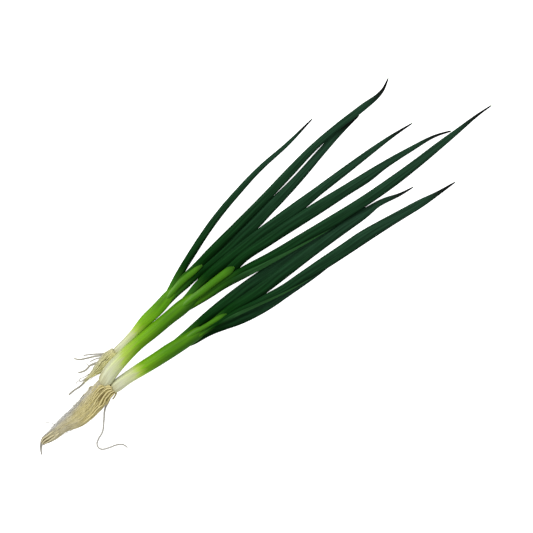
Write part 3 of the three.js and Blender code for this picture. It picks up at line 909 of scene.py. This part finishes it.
def topAt(core, x, y):
    # height of the tuft's upper side over a point
    middle, z, width, thickness = coreAt(core, x)
    off = min(1.0, abs(y - middle) / (width / 2))
    return z + thickness / 2 * math.sqrt(1 - off * off)


def lanePoints(core, start, endX, lane, depth, wiggle, settle, steps=12):
    # a root leaves its base, settles into its lane on the outside of the tuft and keeps it;
    # lane 0 is the left edge, 0.5 the top and 1 the right edge
    points = [Vector(start)]
    phase = draw.uniform(0, math.tau)
    waves = draw.uniform(*strandForm["waves"])
    turnWiggle = strandForm["turnWiggle"] * wiggle
    outWiggle = strandForm["outWiggle"] * wiggle
    for k in range(1, steps + 1):
        share = k / steps
        x = start[0] + (endX - start[0]) * share
        y, z, width, thickness = coreAt(core, x)
        turn = math.pi * lane + turnWiggle * math.sin(phase + share * waves)
        out = depth * (1 + outWiggle * math.sin(phase * 2 + share * waves * 0.7))
        target = Vector((x, y + math.cos(turn) * width / 2 * out,
                         max(z + math.sin(turn) * thickness / 2 * out, 0.45)))
        ease = min(1.0, share / settle)
        ease = ease * (2 - ease)
        point = Vector(start).lerp(target, ease)
        point.x = x
        points.append(point)
    return points


def boldPoints(line, aside=0.0, lift=0.35):
    # a drawn root on top of the tangle, from high in its base to a last point sunk in
    points = []
    for k, (x, y) in enumerate(line):
        y += aside * min(1, k)
        least = tangleForm["arcTop"] if x > tangleForm["arcTopFrom"] else 0
        z = max(topAt(tangleCore, x, y) + lift, least)
        sink = tangleForm["arcSink"] if k == len(line) - 1 else 0
        points.append((x, y, z - sink))
    return points


def gatherStrands(name, laid, core, coreShare, toneAt, skin, node):
    # the strands and a slimmer core become one piece
    slim = [(s[0], s[1], s[2] * 0.96, s[3] * coreShare, s[4] * coreShare) for s in core]
    body = makeBlade(name, slim, "core")
    keepAbove(body, 0.15)
    setValues(body, "tone", [toneAt(vert.co.x / mm) for vert in body.data.vertices])
    setValues(body, "grey", [0.0] * len(body.data.vertices))
    deselectAll()
    for strand, _ in laid:
        strand.select_set(True)
    bpy.context.view_layer.objects.active = laid[0][0]
    bpy.ops.object.convert(target="MESH")
    body.select_set(True)
    bpy.context.view_layer.objects.active = body
    bpy.ops.object.join()
    for _, path in laid:
        bpy.data.objects.remove(path)
    keepAbove(body, 0.02)
    for vert, grey in zip(body.data.vertices, body.data.attributes["grey"].data):
        # the tail is greyer
        past = (strandForm["greyTailFrom"] - vert.co.x / mm) / strandForm["greyTailOver"]
        grey.value = min(1, grey.value + strandForm["greyTail"] * min(1, max(0, past)))
    finishPiece(body, skin, [node], level=0)


def layHairs(laid, core, count, startX, endX, leftShare, reachMost):
    # thin grey hairs along the edges
    for _ in range(count):
        edge = 1 if draw.random() < leftShare else -1
        x = draw.uniform(startX, endX)
        run = draw.uniform(4, 12)
        y, z, width, _ = coreAt(core, x)
        farY, _, farWidth, _ = coreAt(core, x - run)
        reach = draw.uniform(0.2, 1) * reachMost * (1 if edge > 0 else 0.5)
        points = [(x, y + edge * width * 0.42, z),
                  (x - run * 0.5, (y + farY + edge * (width + farWidth) / 2) / 2
                   + edge * reach * 0.5, z * 0.8),
                  (x - run, farY + edge * (farWidth / 2 + reach * draw.uniform(0.2, 1)),
                   z * 0.6)]
        layStrand(laid, points, strandForm["hairWidth"] * draw.uniform(0.6, 1.3),
                  strandForm["hairTone"], draw.uniform(0.6, 1), masterHair)


def layStrays(laid, strays):
    for points, width, tone, grey in strays:
        layStrand(laid, points, width, tone, grey, masterStray)


def fineStart(form, lane):
    # the left lanes start at the middle plant's base, and so do a few others; the rest come
    # out of the core, those at the right edge nearer the bases than those on top
    if lane < form["middleUpTo"] or draw.random() < form["middleChance"]:
        x, y, z = form["middleBase"]
        around = math.pi * min(1, lane * 1.6)
        out = form["middleReach"] * math.sqrt(draw.uniform(0.3, 1))
        return (x + draw.uniform(-1, 0.6), y + math.cos(around) * out,
                z + math.sin(around) * out * 0.6)
    x = draw.uniform(-143, -154) if lane < form["rightFrom"] else draw.uniform(-132, -142)
    y, z, width, thickness = coreAt(tangleCore, x)
    return (x, y + math.cos(math.pi * lane) * width * 0.4,
            z + math.sin(math.pi * lane) * thickness * 0.36)


def layFineStrands(laid, form):
    endFrom, endOver = form["fineEnds"]
    for i in range(form["fineStrands"]):
        lane = 0.02 + 0.96 * (i + draw.random()) / form["fineStrands"]
        endX = endFrom - endOver * draw.random() ** 0.75
        start = fineStart(form, lane)
        points = lanePoints(tangleCore, start, endX, lane + draw.uniform(-0.03, 0.03),
                            draw.uniform(0.9, 1.0), draw.uniform(0.4, 1.6), form["fineSettle"])
        greyness = draw.uniform(0.3, 1) * min(1, max(0, 0.4 - lane) * 5)
        layStrand(laid, points, form["fineWidth"] * draw.uniform(0.7, 1.3),
                  draw.uniform(0.38, 0.82), max(greyness, draw.uniform(0, 0.25)))


def layArcs(laid, form):
    for line, width, tone in boldRoots:
        layStrand(laid, boldPoints(line), width, tone, 0.0, masterStray)
    for i in range(form["thinArcs"]):
        # thinner and browner ones beside and below the arcs
        line = boldRoots[i % form["arcsCopied"]][0]
        points = boldPoints(line, draw.uniform(-1.1, 1.1), draw.uniform(-0.3, 0))
        layStrand(laid, points, draw.uniform(0.4, 0.6), draw.uniform(0.2, 0.65))


def layEdgeStrands(laid, form):
    # matted pale grey ones along the left edge
    for _ in range(form["edgeStrands"]):
        x = draw.uniform(-146, -172)
        run = draw.uniform(8, 18)
        middle, _, width, _ = coreAt(tangleCore, x)
        points = lanePoints(tangleCore, (x, middle + width * 0.3, 1.2), x - run,
                            draw.uniform(0.02, 0.2), draw.uniform(1.0, 1.2), 2.0, 0.3, 6)
        layStrand(laid, points, draw.uniform(0.3, 0.5), draw.uniform(0.7, 1.1),
                  draw.uniform(0.8, 1))


def layHook(laid, form):
    # the tail's hook narrows to one point
    for _ in range(form["hookStrands"]):
        aside = draw.uniform(-1.5, 1.5)
        rise = draw.uniform(-0.2, 0.8)
        points = []
        for k, (x, y, z) in enumerate(hookPath):
            spread = 1 - (k / (len(hookPath) - 1)) ** 2 * 0.85
            points.append((x - aside * spread * 0.3, y + aside * spread, z + rise * spread))
        layStrand(laid, points, draw.uniform(0.6, 0.8), draw.uniform(0.1, 0.5),
                  draw.uniform(0.5, 0.9), masterStray)


def makeTangle():
    laid = []
    layFineStrands(laid, tangleForm)
    layArcs(laid, tangleForm)
    layEdgeStrands(laid, tangleForm)
    layHairs(laid, tangleCore, **tangleForm["hairs"])
    layHook(laid, tangleForm)
    layStrays(laid, tangleStrays)
    return laid


def makeTuft():
    laid = []
    baseX, baseY, baseZ = tuftForm["base"]
    aside, above = tuftForm["baseReach"]
    endFrom, endOver = tuftForm["ends"]
    for i in range(tuftForm["strands"]):
        lane = (i + draw.random()) / tuftForm["strands"]
        around = math.pi * lane
        start = (baseX + draw.uniform(-1.4, 0.6), baseY + math.cos(around) * aside,
                 baseZ + math.sin(around) * above)
        endX = endFrom - endOver * draw.random()
        points = lanePoints(tuftCore, start, endX, lane, draw.uniform(0.95, 1.3),
                            draw.uniform(0.6, 2.0), tuftForm["settle"])
        layStrand(laid, points, tuftForm["width"] * draw.uniform(0.55, 1.15),
                  draw.uniform(0.5, 1.1), draw.uniform(0, 0.3) + max(0, 0.4 - lane))
    layHairs(laid, tuftCore, **tuftForm["hairs"])
    layStrays(laid, tuftStrays)
    return laid


def tangleTone(x):
    # painted shade in the gaps beside the bases, dark in the tail too, and pale between
    return min(0.5, max(0.2, (-143 - x) / 12), max(0.15, (x + 192) / 12))


gatherStrands("root_strands_middle_right", makeTangle(), tangleCore,
              tangleForm["coreShare"], tangleTone,
              makeRootSkin("tangle skin", rootLook["tangleTint"]), "root_tangle_middle_right")
gatherStrands("root_strands_left", makeTuft(), tuftCore,
              tuftForm["coreShare"], lambda x: tuftForm["coreTone"],
              makeRootSkin("tuft skin", rootLook["tuftTint"]), "root_tuft_left")
for master in (masterStrand, masterHair, masterStray):
    bpy.data.objects.remove(master)
print("roots made")

studio = {
    "bunchTurn": 38.0,  # degrees from the picture's right up to the bunch's own length
    "aim": (6.1, -10.6, 4.0),
    "pictureWidth": 373.1,
    "lens": 85.0,
    "sensor": 36.0,
    "floor": (0.93, 0.93, 0.925),
    "floorSize": 40,
    "floorGlow": 1.0,
    "world": 0.6,
    # metres to the right of the aim, up the picture and above it, size and power
    "lights": {"key light": (-1.1, 0.9, 1.5, 1.2, 21), "fill light": (0.8, -0.5, 1.8, 1.6, 3.7)},
}
deselectAll()
bpy.ops.mesh.primitive_plane_add(size=studio["floorSize"], location=(0, 0, 0))
floor = bpy.context.object
floor.name = "floor"
floorPaint, floorTree, floorShader = newMaterial("floor paint")
floorShader.inputs["Base Color"].default_value = (*studio["floor"], 1)
floorShader.inputs["Roughness"].default_value = 0.9
floorShader.inputs["Specular IOR Level"].default_value = 0.1
floorShader.inputs["Emission Color"].default_value = (1, 1, 1, 1)
seen = floorTree.nodes.new("ShaderNodeLightPath")  # lit from below, as on a light table
glow = mathNode(floorTree, "MULTIPLY", seen.outputs["Is Camera Ray"], studio["floorGlow"])
floorTree.links.new(glow, floorShader.inputs["Emission Strength"])
floor.data.materials.append(floorPaint)

turn = math.radians(studio["bunchTurn"])
pictureRight = Vector((math.cos(turn), -math.sin(turn), 0))
pictureUp = Vector((math.sin(turn), math.cos(turn), 0))
aim = Vector([value * mm for value in studio["aim"]])

cameraData = bpy.data.cameras.new("camera")
cameraData.lens = studio["lens"]
cameraData.sensor_width = studio["sensor"]
cameraData.clip_start = 0.05
camera = bpy.data.objects.new("camera", cameraData)
bpy.context.collection.objects.link(camera)
distance = studio["pictureWidth"] * mm * studio["lens"] / studio["sensor"]
camera.location = aim + Vector((0, 0, distance))
camera.rotation_euler = (0, 0, -turn)
bpy.context.scene.camera = camera


def softLight(name, fromRight, fromUp, height, size, power):
    data = bpy.data.lights.new(name, "AREA")
    data.shape = "SQUARE"
    data.size = size
    data.energy = power
    lamp = bpy.data.objects.new(name, data)
    bpy.context.collection.objects.link(lamp)
    lamp.location = aim + pictureRight * fromRight + pictureUp * fromUp + Vector((0, 0, height))
    lamp.rotation_euler = (aim - lamp.location).to_track_quat("-Z", "Y").to_euler()


for name, values in studio["lights"].items():
    softLight(name, *values)
world = bpy.data.worlds.new("studio")
bpy.context.scene.world = world
world.use_nodes = True
background = world.node_tree.nodes["Background"]
background.inputs[0].default_value = (1, 1, 1, 1)
background.inputs[1].default_value = studio["world"]
bpy.context.scene.view_settings.view_transform = "Standard"
print("floor, lights and camera placed")
